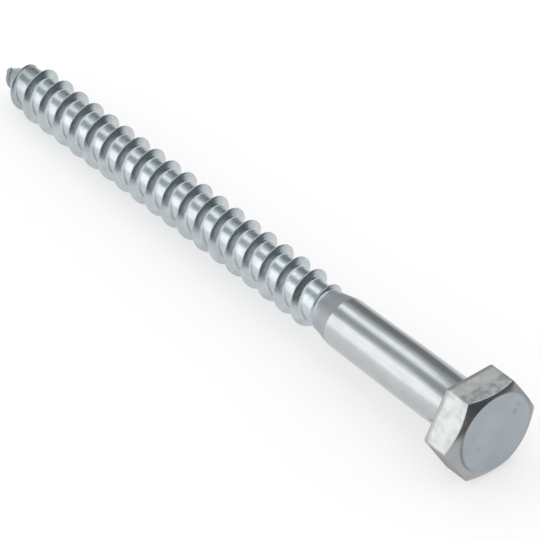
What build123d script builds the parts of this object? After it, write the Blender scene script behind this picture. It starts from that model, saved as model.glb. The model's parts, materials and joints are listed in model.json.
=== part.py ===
"""Hex-head lag screw (coach screw) for timber, 10 mm thread, about 128 mm under the head.

One forged and thread-rolled piece of steel. It is drawn along its own axis: the bearing
face under the head is at station 0, the head lies below it and the point is at +Z. Local
+X is the middle of one hex flat. At the end it is laid down on that flat, the way a loose
screw rests: on the flat's edge at the bearing face and on one thread crest near the point.
Lengths are in mm. A station is a distance from the bearing face towards the point.
"""

from build123d import *

import os
from math import atan2, cos, degrees, radians, sin, tan

# Head: cold-forged hexagon with a turned 30 degree chamfer on top
across_flats = 17.0
head_height = 6.7
head_land_diameter = 15.2
head_chamfer_angle = 30.0
underhead_cone = 0.4

# Shank: plain for the grip, then a slight taper to a neck that drops to the rolled thread
screw_length = 128.0
grip_diameter = 9.8
grip_length = 12.0
shank_end_diameter = 9.4
shank_end_station = 31.7
core_start_station = 37.0

# Thread: right-hand, one start, a sharp 60 degree ridge over a wide flat root
thread_diameter = 10.0
core_diameter = 7.2
pitch = 4.5
flank_angle = 30.0
thread_start_station = 34.74
thread_start_diameter = 8.0
full_thread_start = 39.8
full_thread_end = 116.6

# Point: the core runs out in a cone, and the crest follows it in a fuller curve
point_station = 122.0
nose_radius = 0.35
thread_end_station = 127.5
crest_curve_power = 2.1

# Ridge section, as shares of the crest radius: its base is sunk inside the core
ridge_base_share = 0.4
half_base_share = (1 - ridge_base_share) * tan(radians(flank_angle))
crest_radius = thread_diameter / 2
core_radius = core_diameter / 2

# The crest passes the lowest point of the screw once a turn, always at full turns from
# the thread's start. The last full-height crest is what the lying screw rests on.
turns_to_contact = (full_thread_end - thread_start_station) // pitch
contact_station = thread_start_station + turns_to_contact * pitch
resting_tilt = degrees(atan2(across_flats / 2 - crest_radius, contact_station))


def crest_radius_at(station):
    """Crest radius: rises out of the neck, stays full, then curves in to the point."""
    if station < full_thread_start:
        rise = (station - thread_start_station) / (full_thread_start - thread_start_station)
        return thread_start_diameter / 2 * (1 - rise) + crest_radius * rise
    if station > full_thread_end:
        run = (station - full_thread_end) / (screw_length - full_thread_end)
        return crest_radius * (1 - run**crest_curve_power) + nose_radius * run
    return crest_radius


def ridge_corners(station):
    """The ridge's section as (station, radius): head-side base, crest, point-side base."""
    crest = crest_radius_at(station)
    base = ridge_base_share * crest
    half_base = half_base_share * crest
    return [(station - half_base, base), (station, crest), (station + half_base, base)]


def helix_between(start, end, turns, angle):
    """A helix, cylindrical or conical, from one (station, radius) to another."""
    height = end[0] - start[0]
    slope = atan2(end[1] - start[1], height)
    slant_pitch = height / turns / cos(slope)
    curve = Edge.make_helix(
        slant_pitch, height, start[1], (0, 0, start[0]), angle=degrees(slope)
    )
    return curve.rotate(Axis.Z, angle).edges()[0]


def ridge_piece(start_station, end_station):
    """A stretch of the thread ridge: two ruled flanks and a base between three helices."""
    turns = (end_station - start_station) / pitch
    angle = 360 * (start_station - thread_start_station) / pitch
    corner_pairs = zip(ridge_corners(start_station), ridge_corners(end_station))
    curves = [helix_between(start, end, turns, angle) for start, end in corner_pairs]
    following = curves[1:] + curves[:1]
    sides = [Face.make_surface_from_curves(a, b) for a, b in zip(curves, following)]
    caps = [
        Face(Wire.make_polygon([curve @ 0 for curve in curves])),
        Face(Wire.make_polygon([curve @ 1 for curve in curves])),
    ]
    return Solid(Shell(sides + caps))


def ridge_stations():
    """Ends of the ridge pieces: half turns where the crest rises or falls, else full."""
    stations = [thread_start_station]
    while stations[-1] + pitch / 2 < thread_end_station:
        here = stations[-1]
        is_full = full_thread_start < here < full_thread_end - pitch
        stations.append(here + (pitch if is_full else pitch / 2))
    return stations + [thread_end_station]


with BuildPart() as lag_screw:
    with BuildSketch(Plane.XY) as hexagon:
        RegularPolygon(across_flats / 2, 6, major_radius=False, rotation=30)
    extrude(amount=-head_height)

    # Turn the top: everything outside the land is cut back in a 30 degree cone
    with BuildSketch(Plane.XZ) as head_envelope:
        outer = across_flats
        land = head_land_diameter / 2
        drop = (outer - land) * tan(radians(head_chamfer_angle))
        with BuildLine() as head_outline:
            Polyline(
                (0, 0),
                (outer, 0),
                (outer, drop - head_height),
                (land, -head_height),
                (0, -head_height),
                close=True,
            )
        make_face()
    revolve(axis=Axis.Z, mode=Mode.INTERSECT)

    # Shank, neck, core and point as one turned profile. It starts inside the head, and a
    # small cone fills the corner under the bearing face
    with BuildSketch(Plane.XZ) as shank_section:
        with BuildLine() as shank_outline:
            Polyline(
                (0, -head_height / 2),
                (grip_diameter / 2 + underhead_cone, -head_height / 2),
                (grip_diameter / 2 + underhead_cone, 0),
                (grip_diameter / 2, underhead_cone),
                (grip_diameter / 2, grip_length),
                (shank_end_diameter / 2, shank_end_station),
                (core_radius, core_start_station),
                (core_radius, point_station),
                (nose_radius, screw_length),
                (0, screw_length),
                close=True,
            )
        make_face()
    revolve(axis=Axis.Z)

    # The rolled thread
    stations = ridge_stations()
    add([ridge_piece(a, b) for a, b in zip(stations, stations[1:])])

# Lay it down: the point towards -X, the flat's bearing-side edge and a crest on the floor
tilt = radians(resting_tilt)
lying = Plane(
    origin=(0, 0, 0),
    x_dir=(sin(tilt), 0, -cos(tilt)),
    z_dir=(-cos(tilt), 0, -sin(tilt)),
)
laid_down = lag_screw.part.moved(lying.location)
box = laid_down.bounding_box()
floor_centre = Vector(box.center().X, box.center().Y, box.min.Z)

with BuildPart() as resting_screw:
    add(laid_down.translate(-floor_centre))
resting_screw.part.label = "lag_screw"

os.makedirs("parts", exist_ok=True)
export_step(resting_screw.part, "parts/lag_screw.step")
print("tilt", round(resting_tilt, 3), "bearing face centre", tuple(-floor_centre))
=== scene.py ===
# %% [markdown]
# A lag screw on a white table.
#
# The real thing is one piece of steel wire: the head is struck cold in a hexagonal die, the
# thread and the gimlet point are rolled between flat dies, and the whole screw is then
# electroplated with bright zinc. There is nothing to put together here, so the lesson is
# about one closed skin with a good surface.
#
# The CAD model gives the size and the place. It is loaded first, and this script then
# builds a finer skin of the same screw, with the small roundings that catch the light.

# %% Load the frame
import json
from math import atan2, cos, degrees, hypot, pi, radians, sin, sqrt, tan

import bpy
from mathutils import Matrix, Vector


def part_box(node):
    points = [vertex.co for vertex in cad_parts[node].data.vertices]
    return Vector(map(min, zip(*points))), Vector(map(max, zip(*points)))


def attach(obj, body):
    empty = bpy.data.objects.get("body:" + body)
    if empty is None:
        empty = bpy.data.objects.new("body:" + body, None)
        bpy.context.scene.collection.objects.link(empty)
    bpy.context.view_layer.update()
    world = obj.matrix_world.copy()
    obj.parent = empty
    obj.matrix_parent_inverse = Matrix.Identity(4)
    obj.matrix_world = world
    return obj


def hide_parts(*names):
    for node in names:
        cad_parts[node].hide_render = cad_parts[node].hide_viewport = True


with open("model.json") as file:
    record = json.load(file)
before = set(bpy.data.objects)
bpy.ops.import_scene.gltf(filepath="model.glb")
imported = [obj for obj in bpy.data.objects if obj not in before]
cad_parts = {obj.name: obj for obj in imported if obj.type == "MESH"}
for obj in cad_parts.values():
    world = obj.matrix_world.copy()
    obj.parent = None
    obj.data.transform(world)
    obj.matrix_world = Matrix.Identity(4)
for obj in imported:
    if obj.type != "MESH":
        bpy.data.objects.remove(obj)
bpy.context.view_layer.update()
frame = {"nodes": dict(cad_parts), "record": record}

cad_low, cad_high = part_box("lag_screw")
mounts = {mount["name"]: mount for mount in frame["record"]["mounts"]}
print("solid", frame["nodes"].keys(), "from", cad_low, "to", cad_high)

# %% [markdown]
# Sizes. A screw is drawn along its own axis, so every place on it is a station: the distance
# from the bearing face under the head towards the point. The head has negative stations.
# The sizes are in millimetres, as in a fastener table, and MM turns them into Blender's
# metres. They are the solid's sizes, with the roundings of a forged and rolled surface and
# the land's small offset added. The gaps are for rings that carry no shape of their own.

# %% Sizes in millimetres
MM = 0.001

across_flats = 17.0
head_height = 6.7
land_radius = 7.6
land_off_centre = 0.45
land_off_towards = 225
chamfer_slope = tan(radians(30))
hexagon_corner_rounding = 0.4
land_edge_rounding = 0.3
chamfer_edge_rounding = 0.12
bearing_edge_rounding = 0.4
land_ring_gap = 0.4
flat_ring_gap = 0.35

grip_radius = 4.9
grip_end = 12.0
shank_end_radius = 4.7
shank_end = 31.7
shank_end_rounding = 0.5
underhead_rounding = 0.4

thread_pitch = 4.5
crest_radius = 5.0
core_radius = 3.6
core_start = 37.0
thread_start = 34.74
thread_start_radius = 3.8
full_thread_start = 39.8
full_thread_end = 116.6
point_start = 122.0
point_curve_power = 2.1
screw_length = 128.0
nose_radius = 0.35
nose_height = 0.3
crest_rounding = 0.12
root_rounding = 0.45
flank_angle = radians(30)
print("thread turns", round((screw_length - thread_start) / thread_pitch, 1))

# %% [markdown]
# The blank's outline. A turned shape is half a section spun round its axis, so the work is
# in the section. The section of the head and shank is a chain of corners, each with its own
# rounding. A helper puts an arc in each corner. It could be left to a Bevel modifier, but
# then the roundings couldn't differ, and the number of rings wouldn't be known. Plain rings
# at a small gap from a rounding keep the broad face beside it flat under smooth shading.


# %% Round the corners of an outline
def rounded(corners, arc_steps=3):
    """Replace each (radius, station, rounding) corner by an arc of arc_steps + 1 points."""
    points = []
    for index, (radius, station, rounding) in enumerate(corners):
        here = Vector((radius, station))
        if not rounding:
            points.append(here)
            continue
        before = (Vector(corners[index - 1][:2]) - here).normalized()
        after = (Vector(corners[index + 1][:2]) - here).normalized()
        half_angle = before.angle(after) / 2
        middle = here + (before + after).normalized() * rounding / sin(half_angle)
        start = here + before * rounding / tan(half_angle) - middle
        end = here + after * rounding / tan(half_angle) - middle
        turn = start.angle_signed(end)
        for step in range(arc_steps + 1):
            points.append(middle + Matrix.Rotation(-turn * step / arc_steps, 2) @ start)
    return points


def head_outline(flat_distance, land=land_radius):
    """The head's section where its side and its land stand these distances from the axis."""
    top = -head_height
    chamfer_end = top + (flat_distance - land) * chamfer_slope
    return rounded(
        [
            (0, top, 0),
            (land / 2, top, 0),
            (land - land_ring_gap, top, 0),
            (land, top, land_edge_rounding),
            (flat_distance, chamfer_end, chamfer_edge_rounding),
            (flat_distance, chamfer_end + flat_ring_gap, 0),
            (flat_distance, -2 * bearing_edge_rounding, 0),
            (flat_distance, 0, bearing_edge_rounding),
            (flat_distance - 2 * bearing_edge_rounding, 0, 0),
        ]
    )


def core_radius_at(station):
    """The body's radius without its thread: neck cone, core, then the cone of the point."""
    if station < core_start:
        share = (station - shank_end) / (core_start - shank_end)
        return shank_end_radius + (core_radius - shank_end_radius) * share
    if station > point_start:
        share = (station - point_start) / (screw_length - point_start)
        return core_radius + (nose_radius - core_radius) * share
    return core_radius


blank_radius = across_flats / 2 / cos(radians(30))
blank_end = 33.0
shank_outline = rounded(
    [
        (grip_radius + 3 * underhead_rounding, 0, 0),
        (grip_radius, 0, underhead_rounding),
        (grip_radius, grip_end, 0),
        (shank_end_radius, shank_end, shank_end_rounding),
        (core_radius_at(blank_end), blank_end, 0),
    ]
)
head_points = len(head_outline(blank_radius))
blank_outline = head_outline(blank_radius) + shank_outline
print("head", head_points, "points, shank", len(shank_outline), "points")

# %% [markdown]
# The blank. A single vertex is extruded along the outline, and Spin turns that chain once
# round the axis. A cylinder with loop cuts would give the same rings, but Spin takes the
# whole section at once. The two ends of the spin meet, so their doubles are merged.


# %% Draw an outline and turn the blank
def draw_outline(name, points):
    """A new object whose mesh is one chain of edges through (radius, station) points."""
    bpy.ops.object.select_all(action="DESELECT")
    bpy.ops.mesh.primitive_plane_add(size=1)
    outline = bpy.context.object
    outline.name = name
    first = Vector((points[0][0], 0, points[0][1])) * MM
    bpy.ops.object.mode_set(mode="EDIT")
    bpy.ops.mesh.merge(type="CENTER")
    bpy.ops.transform.translate(value=first)
    for before, after in zip(points, points[1:]):
        step = Vector((after[0] - before[0], 0, after[1] - before[1])) * MM
        bpy.ops.mesh.extrude_region_move(TRANSFORM_OT_translate={"value": step})
    bpy.ops.mesh.select_all(action="SELECT")
    return outline


columns = 96
same_place = 0.002 * MM
blank = draw_outline("lag_screw_body", blank_outline)
bpy.ops.mesh.spin(steps=columns, angle=2 * pi, center=(0, 0, 0), axis=(0, 0, 1))
bpy.ops.mesh.select_all(action="SELECT")
bpy.ops.mesh.remove_doubles(threshold=same_place)
bpy.ops.object.mode_set(mode="OBJECT")
print("turned blank", len(blank.data.vertices), "vertices")

# %% [markdown]
# The hexagon. The die presses the round head to six flats. Here each vertical column of the
# head is moved to its place on the hexagon, and its ring heights follow from the same
# section, drawn for that column's distance from the axis. That gives the true curved edge
# where the flat cuts the 30 degree chamfer. Columns crowd at the corners, which are rounded.
# The end was trimmed a little off centre, so the land stands nearer to one side.

# %% Press the six flats
half_sector = [0, 0.5, 1.0, 1.5, 2.2, 6, 13, 21, 30]
sector = half_sector + [60 - angle for angle in reversed(half_sector[1:-1])]
flat_half_width = (across_flats / 2 - hexagon_corner_rounding) * tan(radians(30))


def hexagon_distance(from_corner):
    """Distance from the axis to the hexagon, from_corner degrees away from a corner."""
    from_flat_middle = radians(30 - min(from_corner, 60 - from_corner))
    if across_flats / 2 * tan(from_flat_middle) <= flat_half_width:
        return across_flats / 2 / cos(from_flat_middle)
    corner_centre = (across_flats / 2 - hexagon_corner_rounding) / cos(radians(30))
    aside = corner_centre * sin(radians(30) - from_flat_middle)
    return sqrt(corner_centre**2 - aside**2) + sqrt(hexagon_corner_rounding**2 - aside**2)


column_angles = [30 + 60 * side + angle for side in range(6) for angle in sector]
pressed = []
for column, angle in enumerate(column_angles):
    off_centre = land_off_centre * cos(radians(angle - land_off_towards))
    distance = hexagon_distance(sector[column % len(sector)])
    pressed.append(head_outline(distance, land_radius + off_centre))
for vertex in blank.data.vertices:
    here = Vector((hypot(vertex.co.x, vertex.co.y), vertex.co.z)) / MM
    ring = min(range(len(blank_outline)), key=lambda i: (blank_outline[i] - here).length)
    if ring >= head_points:
        continue
    column = round(atan2(vertex.co.y, vertex.co.x) / (2 * pi) * columns) % columns
    new_radius, new_station = pressed[column][ring]
    angle = radians(column_angles[column])
    vertex.co = Vector((new_radius * cos(angle), new_radius * sin(angle), new_station)) * MM
print("across flats", round(2 * min(max(p.x for p in outline) for outline in pressed), 2), "mm")

# %% [markdown]
# The thread. A thread is a strip of skin wound round the core: one pitch wide, with the
# ridge down its middle. So one pitch of the section is drawn, and the Screw modifier winds
# it up, a turn for each pitch. Its rows then run along the crest, which stays a clean line.
# A thread cut by a boolean would have ragged edges where the rings cross the crest.
#
# The ridge has 60 degree flanks, a rolled crest and a hollow at each foot. The same formula
# gives the section at any crest height, so it also serves where the thread fades out. There
# the roundings shrink, so that they never take up more than their share of the height.


# %% The ridge's section
largest_rounded_share = 0.9


def ridge_radius(offset, crest, core):
    """Radius of the skin, offset mm along the axis from the crest line of the ridge."""
    height = crest - core
    if height <= 0:
        return core
    taken = (crest_rounding + root_rounding) * (1 - sin(flank_angle))
    scale = min(1, largest_rounded_share * height / taken)
    top, foot = crest_rounding * scale, root_rounding * scale
    flank_length = (height - taken * scale) / cos(flank_angle)
    crest_end = top * cos(flank_angle)
    flank_end = crest_end + flank_length * sin(flank_angle)
    foot_middle = flank_end + foot * cos(flank_angle)
    offset = abs(offset)
    if offset < crest_end:
        return crest - top + sqrt(top**2 - offset**2)
    if offset < flank_end:
        return crest - top * (1 - sin(flank_angle)) - (offset - crest_end) / tan(flank_angle)
    if offset < foot_middle:
        return core + foot - sqrt(foot**2 - (foot_middle - offset) ** 2)
    return core


# Rows crowd on the crest and at the foot of the flank, and spread out over the root
half_rows = [crest_rounding * cos(flank_angle) * share for share in (0, 0.4, 0.75, 1)]
half_rows += [0.2, 0.32, 0.44, 0.56, 0.66, 0.75, 0.84, 0.94, 1.04, 1.14]
half_rows += [1.4, 1.8, thread_pitch / 2]
row_offsets = [-offset for offset in reversed(half_rows[1:])] + half_rows
root = ridge_radius(thread_pitch / 2, crest_radius, core_radius)
print("ridge", len(row_offsets), "rows, root at", root)

# %% Wind the thread
winding_start = thread_start - 2 * thread_pitch
windings = 24
ridge_outline = [
    Vector((ridge_radius(offset, crest_radius, core_radius), winding_start + offset))
    for offset in row_offsets
]
thread = draw_outline("thread", ridge_outline)
bpy.ops.object.mode_set(mode="OBJECT")
bpy.ops.object.modifier_add(type="SCREW")
winding = thread.modifiers["Screw"]
winding.axis = "Z"
winding.angle = 2 * pi
winding.screw_offset = thread_pitch * MM
winding.steps = winding.render_steps = columns
winding.iterations = windings
bpy.ops.object.modifier_apply(modifier="Screw")
bpy.ops.object.mode_set(mode="EDIT")
bpy.ops.mesh.select_all(action="SELECT")
bpy.ops.mesh.remove_doubles(threshold=same_place)
bpy.ops.object.mode_set(mode="OBJECT")
print("wound thread", len(thread.data.vertices), "vertices")

# %% [markdown]
# The thread's two ends. The ridge rises out of the neck's cone within about a turn, and at
# the point core and crest shrink together. Every vertex keeps its height and its angle and
# is given the radius that the section has there. Then the skin is cut square at both ends
# with Bisect, and the point's rim is drawn in to a small blunt nose.


# %% Shape the run-out and the point
def crest_radius_at(station):
    """The crest's radius: up from the neck, full, then a full curve in to the point."""
    if station < full_thread_start:
        share = (station - thread_start) / (full_thread_start - thread_start)
        return thread_start_radius + (crest_radius - thread_start_radius) * share
    if station > full_thread_end:
        share = min(1, (station - full_thread_end) / (screw_length - full_thread_end))
        return crest_radius * (1 - share**point_curve_power) + nose_radius * share
    return crest_radius


for vertex in thread.data.vertices:
    x, y, station = vertex.co / MM
    turned = atan2(y, x) / (2 * pi)
    crest_number = round((station - thread_start) / thread_pitch - turned)
    crest_station = thread_start + (crest_number + turned) * thread_pitch
    crest = crest_radius_at(crest_station) if crest_station > thread_start else 0
    radius = ridge_radius(station - crest_station, crest, core_radius_at(station))
    vertex.co.x, vertex.co.y = Vector((x, y)).normalized() * radius * MM

# %% Cut the ends square and close the nose
bridged_gap = 0.3
thread_cut = blank_end + bridged_gap
nose_cut = screw_length - nose_height


def open_rim(body, station, play=0.01):
    """Select the open edges of a body that lie at this station, in edit mode."""
    bpy.ops.object.mode_set(mode="EDIT")
    bpy.ops.mesh.select_mode(type="EDGE")
    bpy.ops.mesh.select_all(action="DESELECT")
    bpy.ops.mesh.select_non_manifold(extend=False, use_multi_face=False)
    bpy.ops.object.mode_set(mode="OBJECT")
    for edge in body.data.edges:
        ends = [body.data.vertices[i].co.z / MM for i in edge.vertices]
        edge.select = edge.select and max(abs(end - station) for end in ends) < play
    bpy.ops.object.mode_set(mode="EDIT")
    return sum(edge.select for edge in body.data.edges)


bpy.ops.object.mode_set(mode="EDIT")
for station, side in ((thread_cut, "clear_inner"), (nose_cut, "clear_outer")):
    bpy.ops.mesh.select_all(action="SELECT")
    cut = {"plane_co": (0, 0, station * MM), "plane_no": (0, 0, 1), side: True}
    bpy.ops.mesh.bisect(threshold=0.001 * MM, **cut)
print("nose rim", open_rim(thread, nose_cut), "edges")
nose_steps = 4
for step in range(nose_steps):
    angle, next_angle = (pi / 2 * share / nose_steps for share in (step, step + 1))
    rise = nose_height * (sin(next_angle) - sin(angle)) * MM
    shrink = max(cos(next_angle), 0.01) / cos(angle)
    bpy.ops.mesh.extrude_region_move(TRANSFORM_OT_translate={"value": (0, 0, rise)})
    bpy.ops.transform.resize(value=(shrink, shrink, 1), center_override=(0, 0, 0))
bpy.ops.mesh.merge(type="CENTER")
bpy.ops.object.mode_set(mode="OBJECT")
print("thread cut to", round(thread.dimensions.z / MM, 2), "mm")

# %% [markdown]
# One skin. The blank and the thread are joined into one object and the gap between their
# open rims is bridged, so that nothing overlaps inside and the mesh is closed.

# %% Join the blank and the thread
bpy.ops.object.select_all(action="DESELECT")
thread.select_set(True)
blank.select_set(True)
bpy.context.view_layer.objects.active = blank
bpy.ops.object.join()
bpy.ops.object.mode_set(mode="EDIT")
bpy.ops.mesh.select_mode(type="EDGE")
bpy.ops.mesh.select_all(action="DESELECT")
bpy.ops.mesh.select_non_manifold()
bpy.ops.mesh.bridge_edge_loops()
bpy.ops.mesh.select_all(action="SELECT")
bpy.ops.mesh.normals_make_consistent(inside=False)
bpy.ops.mesh.select_all(action="DESELECT")
bpy.ops.mesh.select_non_manifold()
bpy.ops.object.mode_set(mode="OBJECT")
bpy.ops.object.shade_smooth()
open_edges = sum(edge.select for edge in blank.data.edges)
triangles = sum(len(face.vertices) - 2 for face in blank.data.polygons)
print("one skin", triangles, "triangles,", open_edges, "open edges")

# %% [markdown]
# Its place. A loose screw lies on one edge of its hexagon and on the last full crest of the
# thread, so its axis dips a little towards the point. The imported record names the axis: the
# mount on the shank has a point on it and its direction. The skin is turned there and the
# turn is applied, so that the object itself stays at the origin.

# %% Lay the screw down
shank_mount_station = 6.2
axis = Vector(mounts["shank"]["axis"]).normalized()
bearing_centre = Vector(mounts["shank"]["pos_m"]) - axis * shank_mount_station * MM
across = Vector((0, -1, 0))
downwards = across.cross(axis)
placement = Matrix((downwards, across, axis)).transposed().to_4x4()
placement.translation = bearing_centre
blank.matrix_world = placement
bpy.ops.object.select_all(action="DESELECT")
blank.select_set(True)
bpy.ops.object.transform_apply(location=True, rotation=True, scale=True)
body = blank
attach(body, "root")
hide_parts("lag_screw")
skin_low = [min(v.co[i] for v in body.data.vertices) for i in range(3)]
skin_high = [max(v.co[i] for v in body.data.vertices) for i in range(3)]
print("skin", [round(c / MM, 2) for c in skin_low + skin_high])
print("solid", [round(c / MM, 2) for c in (*cad_low, *cad_high)])

# %% [markdown]
# The material. Bright zinc is a thin electroplated layer that copies whatever lies under it,
# so one plating looks different on each part of the screw. The forged flats are dull and
# mottled, the trimmed end is smooth and bluish, the drawn shank shows lengthwise streaks, and
# the rolled thread is bright with a watery blue. So there are four finishes of one metal.
#
# First come two helpers. One turns an sRGB hex colour to the linear values that Blender
# wants, and the other adds a node with its settings and links.


# %% Colours and nodes
def linear(hex_colour):
    """An sRGB colour such as "#B6BCBE" as linear red, green, blue and alpha."""
    shares = [int(hex_colour[i : i + 2], 16) / 255 for i in (1, 3, 5)]
    return [c / 12.92 if c < 0.04045 else ((c + 0.055) / 1.055) ** 2.4 for c in shares] + [1]


def add_node(tree, kind, inputs=None, **settings):
    """Add a node. Each input is a value, or a socket of another node to link from."""
    node = tree.nodes.new("ShaderNode" + kind)
    for name, value in settings.items():
        setattr(node, name, value)
    for name, value in (inputs or {}).items():
        if isinstance(value, bpy.types.NodeSocket):
            tree.links.new(value, node.inputs[name])
        else:
            node.inputs[name].default_value = value
    return node


print("zinc", [round(c, 3) for c in linear("#B6BCBE")])

# %% [markdown]
# Every pattern is laid out in the screw's own axes, so that a streak runs along the shank
# and a ring runs round the end. Object coordinates follow the table, so a Mapping node turns
# and moves them back to the screw: X down, Y across, Z the station from the bearing face.


# %% A finish in the screw's own axes
to_own_axes = placement.inverted()


def new_finish(name):
    """A metal with its node tree, its shader and the screw's own coordinates in metres."""
    finish = bpy.data.materials.new(name)
    finish.use_nodes = True
    tree = finish.node_tree
    shader = tree.nodes["Principled BSDF"]
    shader.inputs["Metallic"].default_value = 1
    place = add_node(tree, "TexCoord")
    turn_back = {"Rotation": to_own_axes.to_euler(), "Location": to_own_axes.translation}
    own = add_node(tree, "Mapping", {"Vector": place.outputs["Object"], **turn_back})
    body.data.materials.append(finish)
    return finish, tree, shader, own.outputs["Vector"]


body.data.materials.clear()
print("turned back by", [round(degrees(angle), 2) for angle in to_own_axes.to_euler()])

# %% [markdown]
# Zinc on the forged hexagon. The flats carry the die's scale under the plating, which gives
# a soft greenish grey with duller patches of one or two millimetres. A noise of that size
# does this, between two close tones. The same noise later gives the gloss and the dents.

# %% Forged hexagon
forged, tree, shader, own = new_finish("bright_zinc_on_forged_hexagon")
patch_size = 2.2 * MM
patches = add_node(
    tree, "TexNoise", {"Vector": own, "Scale": 1 / patch_size, "Detail": 4, "Roughness": 0.65}
)
patch_colours = add_node(tree, "ValToRGB", {"Fac": patches.outputs["Fac"]})
patch_colours.color_ramp.elements[0].position = 0.34
patch_colours.color_ramp.elements[0].color = linear("#BCC0BF")
patch_colours.color_ramp.elements[1].position = 0.56
patch_colours.color_ramp.elements[1].color = linear("#CBCECD")
split = add_node(tree, "SeparateXYZ", {"Vector": own})
station = split.outputs["Z"]
print(forged.name, "with patches of", round(patch_size / MM, 1), "mm")

# %% [markdown]
# The upper flat is darker in blotches, most of all beside the chamfer. They are cut out of a
# second noise by its level, and a ramp along the station lifts that level near the chamfer.
# Only the upper flat stands so far out along -X, so that picks it.

# %% Darker blotches on the upper flat
blotch_size = 1.3 * MM
blotches = add_node(
    tree, "TexNoise", {"Vector": own, "Scale": 1 / blotch_size, "Detail": 4, "Roughness": 0.6}
)
near_chamfer = add_node(
    tree,
    "MapRange",
    {"Value": station, "From Min": -3 * MM, "From Max": -3.6 * MM, "To Max": 0.16},
)
blotch_level = add_node(
    tree,
    "Math",
    {0: blotches.outputs["Fac"], 1: near_chamfer.outputs["Result"]},
    operation="ADD",
)
on_upper_flat = add_node(
    tree,
    "MapRange",
    {"Value": split.outputs["X"], "From Min": -8.3 * MM, "From Max": -8.48 * MM, "To Max": 0.8},
)
darkening_share = add_node(
    tree,
    "MapRange",
    {
        "Value": blotch_level.outputs[0],
        "From Min": 0.51,
        "From Max": 0.76,
        "To Max": on_upper_flat.outputs["Result"],
    },
)
darkened_blotches = add_node(
    tree,
    "MixRGB",
    {
        "Fac": darkening_share.outputs["Result"],
        "Color1": patch_colours.outputs["Color"],
        "Color2": linear("#8C9393"),
    },
)
print("tarnish in blotches of", round(blotch_size / MM, 1), "mm")

# %% [markdown]
# The edge on the bearing side is beige, because the current crowds at an edge and burns the
# plating there. A ramp over the last stretch before the bearing face draws the line, and it
# fades again just before the face.

# %% Burnt edge
edge_depth = 1.3 * MM
at_edge = add_node(tree, "MapRange", {"Value": station, "From Min": -edge_depth, "From Max": 0})
edge_line = add_node(tree, "ValToRGB", {"Fac": at_edge.outputs["Result"]})
edge_line.color_ramp.elements[0].position = 0.15
edge_line.color_ramp.elements[1].position = 0.4
edge_line.color_ramp.elements.new(0.92).color = (1, 1, 1, 1)
edge_line.color_ramp.elements.new(0.98).color = (0, 0, 0, 1)
edge_tone = add_node(
    tree,
    "MixRGB",
    {
        "Fac": edge_line.outputs["Color"],
        "Color1": darkened_blotches.outputs["Color"],
        "Color2": linear("#AAAAA2"),
    },
)
tree.links.new(edge_tone.outputs["Color"], shader.inputs["Base Color"])
print("burnt edge in the last", round(edge_depth / MM, 1), "mm")

# %% [markdown]
# The gloss and the dents of the forging. The lighter patches are the glossier ones and stand
# a little higher. A fine noise adds the grain of the scale on top of the dents.

# %% Gloss and dents of the forging
gloss = add_node(
    tree,
    "MapRange",
    {
        "Value": patches.outputs["Fac"],
        "From Min": 0.3,
        "From Max": 0.6,
        "To Min": 0.42,
        "To Max": 0.28,
    },
)
tree.links.new(gloss.outputs["Result"], shader.inputs["Roughness"])
dents = add_node(
    tree, "Bump", {"Height": patches.outputs["Fac"], "Strength": 0.5, "Distance": 0.07 * MM}
)
grain_size = 0.45 * MM
grain = add_node(tree, "TexNoise", {"Vector": own, "Scale": 1 / grain_size, "Detail": 2})
scale_bump = add_node(
    tree,
    "Bump",
    {
        "Height": grain.outputs["Fac"],
        "Strength": 0.6,
        "Distance": 0.01 * MM,
        "Normal": dents.outputs["Normal"],
    },
)
tree.links.new(scale_bump.outputs["Normal"], shader.inputs["Normal"])
print(forged.name, len(tree.nodes), "nodes")

# %% [markdown]
# Zinc on the trimmed end. The land is struck flat by the punch, so it is even and satin, and
# its thicker plating is bluish. The chamfer round it was cut, so it is neutral in tone. A
# ramp over the distance from the land's middle changes one to the other. Towards the right,
# seen from the head, painted shade darkens the chamfer, so its tone changes across the screw.


# %% Trimmed end
# The side of the chamfer that gets painted shade, seen from the head
shaded_side_towards = 285


def way_across(angle):
    """The direction across the screw at this angle from its own X axis, in degrees."""
    return Matrix.Rotation(radians(angle), 3, "Z") @ Vector((1, 0, 0))


trimmed, tree, shader, own = new_finish("bright_zinc_on_trimmed_end")
split = add_node(tree, "SeparateXYZ", {"Vector": own})
flat_place = add_node(tree, "CombineXYZ", {"X": split.outputs["X"], "Y": split.outputs["Y"]})
land_middle = way_across(land_off_towards) * land_off_centre * MM
from_middle = add_node(
    tree, "VectorMath", {0: flat_place.outputs["Vector"], 1: land_middle}, operation="DISTANCE"
)
past_land = add_node(
    tree,
    "MapRange",
    {"Value": from_middle.outputs["Value"], "From Min": 7.3 * MM, "From Max": 7.7 * MM},
)
# Painted shade: the chamfer's tone darkens towards that side
shaded_side_share = add_node(
    tree, "VectorMath", {0: own, 1: way_across(shaded_side_towards)}, operation="DOT_PRODUCT"
)
painted_shade_side = add_node(
    tree,
    "MapRange",
    {"Value": shaded_side_share.outputs["Value"], "From Min": 1.5 * MM, "From Max": 6 * MM},
)
chamfer_tone = add_node(
    tree,
    "MixRGB",
    {
        "Fac": painted_shade_side.outputs["Result"],
        "Color1": linear("#AAACAE"),
        "Color2": linear("#83888D"),
    },
)
end_tone = add_node(
    tree,
    "MixRGB",
    {
        "Fac": past_land.outputs["Result"],
        "Color1": linear("#A6AEB4"),
        "Color2": chamfer_tone.outputs["Color"],
    },
)
print(trimmed.name, "with the land's middle at", [round(c / MM, 2) for c in land_middle])
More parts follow.
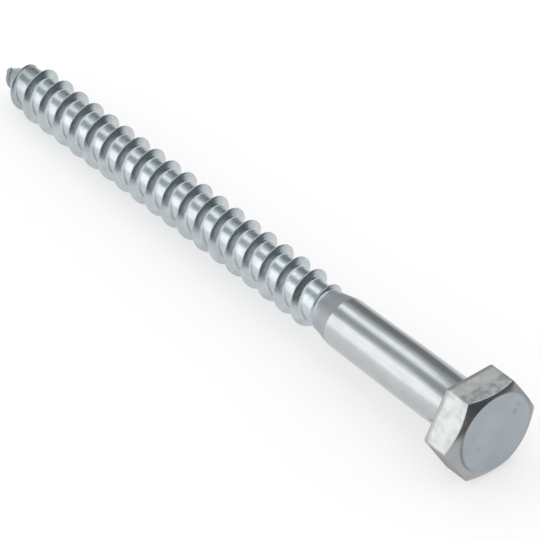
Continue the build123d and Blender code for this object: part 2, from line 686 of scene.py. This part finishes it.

# %% [markdown]
# Seen from the head, the left side of the land's edge carries a darker line. A ramp that
# rises and falls again over the edge draws the line all round, and it is multiplied by a
# share that grows across the screw, which keeps it to that side.

# %% Darker line along the land's edge
line_towards = 80
over_edge = add_node(
    tree,
    "MapRange",
    {"Value": from_middle.outputs["Value"], "From Min": 7.2 * MM, "From Max": 8 * MM},
)
edge_line = add_node(tree, "ValToRGB", {"Fac": over_edge.outputs["Result"]})
edge_line.color_ramp.elements[1].position = 0.4
edge_line.color_ramp.elements.new(0.6).color = (1, 1, 1, 1)
edge_line.color_ramp.elements.new(1).color = (0, 0, 0, 1)
side_share = add_node(
    tree, "VectorMath", {0: own, 1: way_across(line_towards)}, operation="DOT_PRODUCT"
)
line_side = add_node(
    tree,
    "MapRange",
    {
        "Value": side_share.outputs["Value"],
        "From Min": 5 * MM,
        "From Max": 7 * MM,
        "To Max": 0.75,
    },
)
line_share = add_node(
    tree,
    "Math",
    {0: edge_line.outputs["Color"], 1: line_side.outputs["Result"]},
    operation="MULTIPLY",
)
lined = add_node(
    tree,
    "MixRGB",
    {
        "Fac": line_share.outputs[0],
        "Color1": end_tone.outputs["Color"],
        "Color2": linear("#757A7F"),
    },
)
print("line along the land's edge,", len(edge_line.color_ramp.elements), "ramp stops")

# %% [markdown]
# The plating is a little cloudy, and a few pits in the wire's end stay as dark dots. Each
# pit is a place down and across the end, a radius and a darkness. Its share falls from its
# middle outwards, and the pits are put together by taking the larger share.

# %% Clouds and pits
cloud_size = 5 * MM
cloud = add_node(tree, "TexNoise", {"Vector": own, "Scale": 1 / cloud_size, "Detail": 3})
cloud_tone = add_node(
    tree,
    "MixRGB",
    {"Fac": 0.25, "Color1": lined.outputs["Color"], "Color2": cloud.outputs["Fac"]},
    blend_type="SOFT_LIGHT",
)
pits = [(-2.75, -4.4, 0.85, 0.5), (-4.05, -5.1, 0.65, 0.28), (1.15, 3.5, 0.8, 0.28)]
pit_share = 0
for down, over, pit_radius, darkness in pits:
    pit_middle = Vector((down, over, 0)) * MM
    away = add_node(
        tree, "VectorMath", {0: flat_place.outputs["Vector"], 1: pit_middle}, operation="DISTANCE"
    )
    pit = add_node(
        tree,
        "MapRange",
        {
            "Value": away.outputs["Value"],
            "From Min": 0.1 * pit_radius * MM,
            "From Max": pit_radius * MM,
            "To Min": darkness,
            "To Max": 0,
        },
    )
    larger = add_node(
        tree, "Math", {0: pit_share, 1: pit.outputs["Result"]}, operation="MAXIMUM"
    )
    pit_share = larger.outputs[0]
pitted = add_node(
    tree,
    "MixRGB",
    {"Fac": pit_share, "Color1": cloud_tone.outputs["Color"], "Color2": linear("#6E747A")},
)
tree.links.new(pitted.outputs["Color"], shader.inputs["Base Color"])
print(len(pits), "pits")

# %% [markdown]
# The gloss and the grain of the end. The cut chamfer is a trace glossier than the struck
# land. The pits are shallow hollows, and a fine noise gives the punch's grain.

# %% Gloss and grain of the end
gloss = add_node(
    tree,
    "MapRange",
    {
        "Value": from_middle.outputs["Value"],
        "From Min": 7.2 * MM,
        "From Max": 7.9 * MM,
        "To Min": 0.3,
        "To Max": 0.28,
    },
)
tree.links.new(gloss.outputs["Result"], shader.inputs["Roughness"])
hollows = add_node(
    tree, "Bump", {"Height": pit_share, "Strength": 0.2, "Distance": 0.05 * MM}, invert=True
)
grain_size = 0.6 * MM
grain = add_node(tree, "TexNoise", {"Vector": own, "Scale": 1 / grain_size, "Detail": 3})
punch_grain = add_node(
    tree,
    "Bump",
    {
        "Height": grain.outputs["Fac"],
        "Strength": 0.4,
        "Distance": 0.008 * MM,
        "Normal": hollows.outputs["Normal"],
    },
)
tree.links.new(punch_grain.outputs["Normal"], shader.inputs["Normal"])
print(trimmed.name, len(tree.nodes), "nodes")

# %% [markdown]
# Zinc on the drawn shank. The wire was drawn through a die, which leaves fine lines along
# it, and the plating keeps them as faint streaks in tone and gloss. The real lines are
# hundredths of a millimetre apart, too fine to show, so they are drawn 0.3 mm apart.

# %% Drawn shank
drawn, tree, shader, own = new_finish("bright_zinc_on_drawn_shank")
streak_gap = 0.3 * MM
streak_length = 9 * MM
stretched = add_node(
    tree,
    "Mapping",
    {"Vector": own, "Scale": (1 / streak_gap, 1 / streak_gap, 1 / streak_length)},
)
streaks = add_node(
    tree, "TexNoise", {"Vector": stretched.outputs["Vector"], "Scale": 1, "Detail": 3}
)
cloud_size = 4 * MM
cloud = add_node(tree, "TexNoise", {"Vector": own, "Scale": 1 / cloud_size, "Detail": 2})
streak_tones = add_node(tree, "ValToRGB", {"Fac": streaks.outputs["Fac"]})
streak_tones.color_ramp.elements[0].position = 0.3
streak_tones.color_ramp.elements[0].color = linear("#B7BBBD")
streak_tones.color_ramp.elements[1].position = 0.7
streak_tones.color_ramp.elements[1].color = linear("#BDC0C1")
cloud_tone = add_node(
    tree,
    "MixRGB",
    {"Fac": 0.2, "Color1": streak_tones.outputs["Color"], "Color2": cloud.outputs["Fac"]},
    blend_type="SOFT_LIGHT",
)
tree.links.new(cloud_tone.outputs["Color"], shader.inputs["Base Color"])
gloss = add_node(
    tree,
    "MapRange",
    {
        "Value": streaks.outputs["Fac"],
        "From Min": 0.3,
        "From Max": 0.7,
        "To Min": 0.26,
        "To Max": 0.2,
    },
)
tree.links.new(gloss.outputs["Result"], shader.inputs["Roughness"])
waves = add_node(
    tree, "Bump", {"Height": cloud.outputs["Fac"], "Strength": 0.3, "Distance": 0.05 * MM}
)
lines = add_node(
    tree,
    "Bump",
    {
        "Height": streaks.outputs["Fac"],
        "Strength": 0.3,
        "Distance": 0.004 * MM,
        "Normal": waves.outputs["Normal"],
    },
)
tree.links.new(lines.outputs["Normal"], shader.inputs["Normal"])
print(drawn.name, len(tree.nodes), "nodes")

# %% [markdown]
# Zinc on the rolled thread. Rolling squeezes the metal into shape and leaves it bright, with
# small soft dents. The neck, where the dies' ends pinch the wire, is duller and greyer than
# the thread, so a ramp along the station changes its tone and its roughness. Another ramp
# darkens the point, where the plating is thin.

# %% Rolled thread
rolled, tree, shader, own = new_finish("bright_zinc_on_rolled_thread")
blotch_size = 1.8 * MM
blotches = add_node(
    tree, "TexNoise", {"Vector": own, "Scale": 1 / blotch_size, "Detail": 4, "Roughness": 0.6}
)
blotch_tones = add_node(tree, "ValToRGB", {"Fac": blotches.outputs["Fac"]})
blotch_tones.color_ramp.elements[0].position = 0.3
blotch_tones.color_ramp.elements[0].color = linear("#B5BEC2")
blotch_tones.color_ramp.elements[1].position = 0.6
blotch_tones.color_ramp.elements[1].color = linear("#C6CED1")
station = add_node(tree, "SeparateXYZ", {"Vector": own}).outputs["Z"]
past_neck = add_node(
    tree, "MapRange", {"Value": station, "From Min": 34.5 * MM, "From Max": 36.5 * MM}
)
tone = add_node(
    tree,
    "MixRGB",
    {
        "Fac": past_neck.outputs["Result"],
        "Color1": linear("#B1B4B8"),
        "Color2": blotch_tones.outputs["Color"],
    },
)
near_point = add_node(
    tree, "MapRange", {"Value": station, "From Min": 118 * MM, "From Max": 123.5 * MM}
)
worn_tone = add_node(
    tree,
    "MixRGB",
    {
        "Fac": near_point.outputs["Result"],
        "Color1": tone.outputs["Color"],
        "Color2": linear("#9AA1A5"),
    },
)
tree.links.new(worn_tone.outputs["Color"], shader.inputs["Base Color"])
gloss = add_node(
    tree, "MapRange", {"Value": past_neck.outputs["Result"], "To Min": 0.46, "To Max": 0.25}
)
tree.links.new(gloss.outputs["Result"], shader.inputs["Roughness"])
dents = add_node(
    tree, "Bump", {"Height": blotches.outputs["Fac"], "Strength": 0.5, "Distance": 0.05 * MM}
)
tree.links.new(dents.outputs["Normal"], shader.inputs["Normal"])
print(rolled.name, len(tree.nodes), "nodes")

# %% [markdown]
# Which face gets which finish. The four materials are in the object's slots in the order in
# which they were made, and each face takes its slot from its place on the screw. The chamfer
# and the land look along the axis, away from the point, which tells them from the flats.

# %% Give each face its finish
shank_start = 0.02 * MM
slot_of = {slot.name: index for index, slot in enumerate(body.material_slots)}
for face in body.data.polygons:
    middle = to_own_axes @ face.center
    facing = to_own_axes.to_3x3() @ face.normal
    if middle.z > shank_end * MM:
        finish = rolled
    elif middle.z > shank_start:
        finish = drawn
    else:
        finish = trimmed if facing.z < -0.5 else forged
    face.material_index = slot_of[finish.name]
face_slots = [face.material_index for face in body.data.polygons]
print({name: face_slots.count(index) for name, index in slot_of.items()})

# %% [markdown]
# The floor: a wide sheet of white laminate. Seen low down, as the screw's sides see it, it
# mirrors what stands behind it, so reflections get a glossy white. The camera looks down on
# it, where a white table shows nothing but a soft shadow, so for camera rays it is matt, and
# about half of its white is its own glow, which keeps it white and its shadow light.

# %% The floor
floor_size = 12
glow_in_mirrors = 0.6
glow_for_camera = 0.55
bpy.ops.object.select_all(action="DESELECT")
bpy.ops.mesh.primitive_plane_add(size=floor_size, location=(0, 0, cad_low.z))
floor = bpy.context.object
floor.name = "floor"
laminate = bpy.data.materials.new("white_laminate")
laminate.use_nodes = True
tree = laminate.node_tree
glossy_white = tree.nodes["Principled BSDF"]
glossy_white.inputs["Base Color"].default_value = linear("#FFFFFF")
glossy_white.inputs["Roughness"].default_value = 0.15
ray = add_node(tree, "LightPath")
matt_white = add_node(tree, "BsdfDiffuse", {"Color": linear("#FFFFFF")})
surface = add_node(
    tree,
    "MixShader",
    {0: ray.outputs["Is Camera Ray"], 1: glossy_white.outputs[0], 2: matt_white.outputs[0]},
)
glow = add_node(tree, "Emission", {"Color": linear("#FFFFFF"), "Strength": 1})
mirrored = add_node(
    tree,
    "Math",
    {0: ray.outputs["Is Glossy Ray"], 1: ray.outputs["Is Transmission Ray"]},
    operation="ADD",
)
mirrored_share = add_node(
    tree, "Math", {0: mirrored.outputs[0], 1: glow_in_mirrors}, operation="MULTIPLY"
)
camera_share = add_node(
    tree, "Math", {0: ray.outputs["Is Camera Ray"], 1: glow_for_camera}, operation="MULTIPLY"
)
glow_share = add_node(
    tree, "Math", {0: mirrored_share.outputs[0], 1: camera_share.outputs[0]}, operation="ADD"
)
lit = add_node(
    tree, "MixShader", {0: glow_share.outputs[0], 1: surface.outputs[0], 2: glow.outputs[0]}
)
tree.links.new(lit.outputs[0], tree.nodes["Material Output"].inputs["Surface"])
floor.data.materials.append(laminate)
print("floor", tuple(floor.dimensions))

# %% [markdown]
# The light. Polished metal has hardly any look of its own: it shows the room. The room is an
# even white, at the level where a colour looks as it is written. A soft box at the left and a
# small one behind and above give the two bright stripes along the shank. Grey and dark felt
# cards stand round the table and draw the edges of the shape. One more lies in front of the
# head. A small strip under the head stands for the shade there, and runs on for 10 mm under
# the shank, because the flat mirrors that stretch beside the bearing face. Seen from low
# down it also draws a thin grey line on the shank. Each card glows evenly at its own tone,
# so that no lamp changes it. The cards show only in reflections, so they take no light away
# and are never in the picture themselves.

# %% The room
world = bpy.data.worlds.new("white_room")
bpy.context.scene.world = world
world.use_nodes = True
world.node_tree.nodes["Background"].inputs["Color"].default_value = linear("#FFFFFF")
world.node_tree.nodes["Background"].inputs["Strength"].default_value = 1
room_radius = 1.9
print(world.name, room_radius, "m from the screw to its panels")


def stand(azimuths, elevations):
    """Place, turn and size of an upright panel between these angles, seen from the screw."""
    middle = radians(sum(azimuths) / 2)
    away = Vector((cos(middle), sin(middle), 0)) * room_radius
    width = 2 * room_radius * tan(radians(azimuths[1] - azimuths[0]) / 2)
    low, high = (room_radius * tan(radians(elevation)) for elevation in elevations)
    turned = (-away).to_track_quat("-Z", "Y").to_euler()
    return away + Vector((0, 0, (low + high) / 2)), turned, width, high - low


# %% Soft boxes
soft_boxes = {
    "left_soft_box": ((-146, -120), (0, 37), 0.75),
    "back_soft_box": ((151, 178), (45, 56), 0.85),
}
for name, (azimuths, elevations, radiance) in soft_boxes.items():
    place, turned, width, height = stand(azimuths, elevations)
    bpy.ops.object.light_add(type="AREA", location=place, rotation=turned)
    lamp = bpy.context.object
    lamp.name = name
    lamp.data.shape = "RECTANGLE"
    lamp.data.size, lamp.data.size_y = width, height
    lamp.data.energy = radiance * pi * width * height
    print(name, round(width, 2), "x", round(height, 2), "m,", round(lamp.data.energy, 2), "W")

# %% Cards
cards = {
    "left_grey_card": ((-174, -146), (0, 56), "#B2BABB"),
    "back_grey_card": ((139, 186), (0, 43), "#B2BABB"),
    "back_dark_card": ((108, 139), (0, 39), "#8B9091"),
    "right_dark_card": ((-22, 22), (0, 32), "#4A464A"),
    "far_right_dark_card": ((22, 47), (0, 32), "#5F686E"),
    "end_dark_card": ((47, 74), (0, 32), "#4F575C"),
}
lying_cards = {
    "lying_dark_card": ((200, -50, 0.2), -14, (340, 200), "#4C484C"),
    "shade_under_head": ((-9, -7.2, 0.1), 0, (15.5, 4.4), "#B0B2B2"),
}
head_front = Vector((cad_high.x, 0, cad_low.z))
card_places = {name: (*stand(*angles), tone) for name, (*angles, tone) in cards.items()}
for name, (offset, angle, (width, height), tone) in lying_cards.items():
    place = head_front + Vector(offset) * MM
    card_places[name] = (place, (0, 0, radians(angle)), width * MM, height * MM, tone)
for name, (place, turned, width, height, tone) in card_places.items():
    bpy.ops.object.select_all(action="DESELECT")
    bpy.ops.mesh.primitive_plane_add(size=1, location=place, rotation=turned)
    card = bpy.context.object
    card.name = name
    card.scale = (width, height, 1)
    card.visible_camera = card.visible_diffuse = card.visible_shadow = False
    felt = bpy.data.materials.new(name + "_felt")
    felt.use_nodes = True
    tree = felt.node_tree
    tree.nodes.remove(tree.nodes["Principled BSDF"])
    even = add_node(tree, "Emission", {"Color": linear(tone), "Strength": 1})
    tree.links.new(even.outputs[0], tree.nodes["Material Output"].inputs["Surface"])
    card.data.materials.append(felt)
    print(name, round(width, 2), "x", round(height, 2), "m")

# %% [markdown]
# The camera stands well back with a long lens, so the screw is seen from the head's side and
# from above with little change of size along it. It looks at a point near the screw's middle
# and is rolled by a hair, as on a tripod set by hand.

# %% The camera
focal_length = 298.1
camera_distance = 779.7
camera_elevation = radians(39.99)
camera_azimuth = radians(50.54)
camera_roll = radians(0.22)
aim_point = Vector((6.5, 1.7, 3.9)) * MM

bpy.ops.object.camera_add()
camera = bpy.context.object
camera.name = "camera"
camera.data.lens = focal_length
camera.data.sensor_width = 36
camera.data.clip_end = 20
forward = Vector(
    (
        -sin(camera_azimuth) * cos(camera_elevation),
        cos(camera_azimuth) * cos(camera_elevation),
        -sin(camera_elevation),
    )
)
turn = forward.to_track_quat("-Z", "Y") @ Matrix.Rotation(camera_roll, 3, "Z").to_quaternion()
camera.rotation_euler = turn.to_euler()
camera.location = aim_point - forward * camera_distance * MM
bpy.context.scene.camera = camera
bpy.context.scene.view_settings.view_transform = "Standard"
print("camera at", [round(c, 3) for c in camera.location])
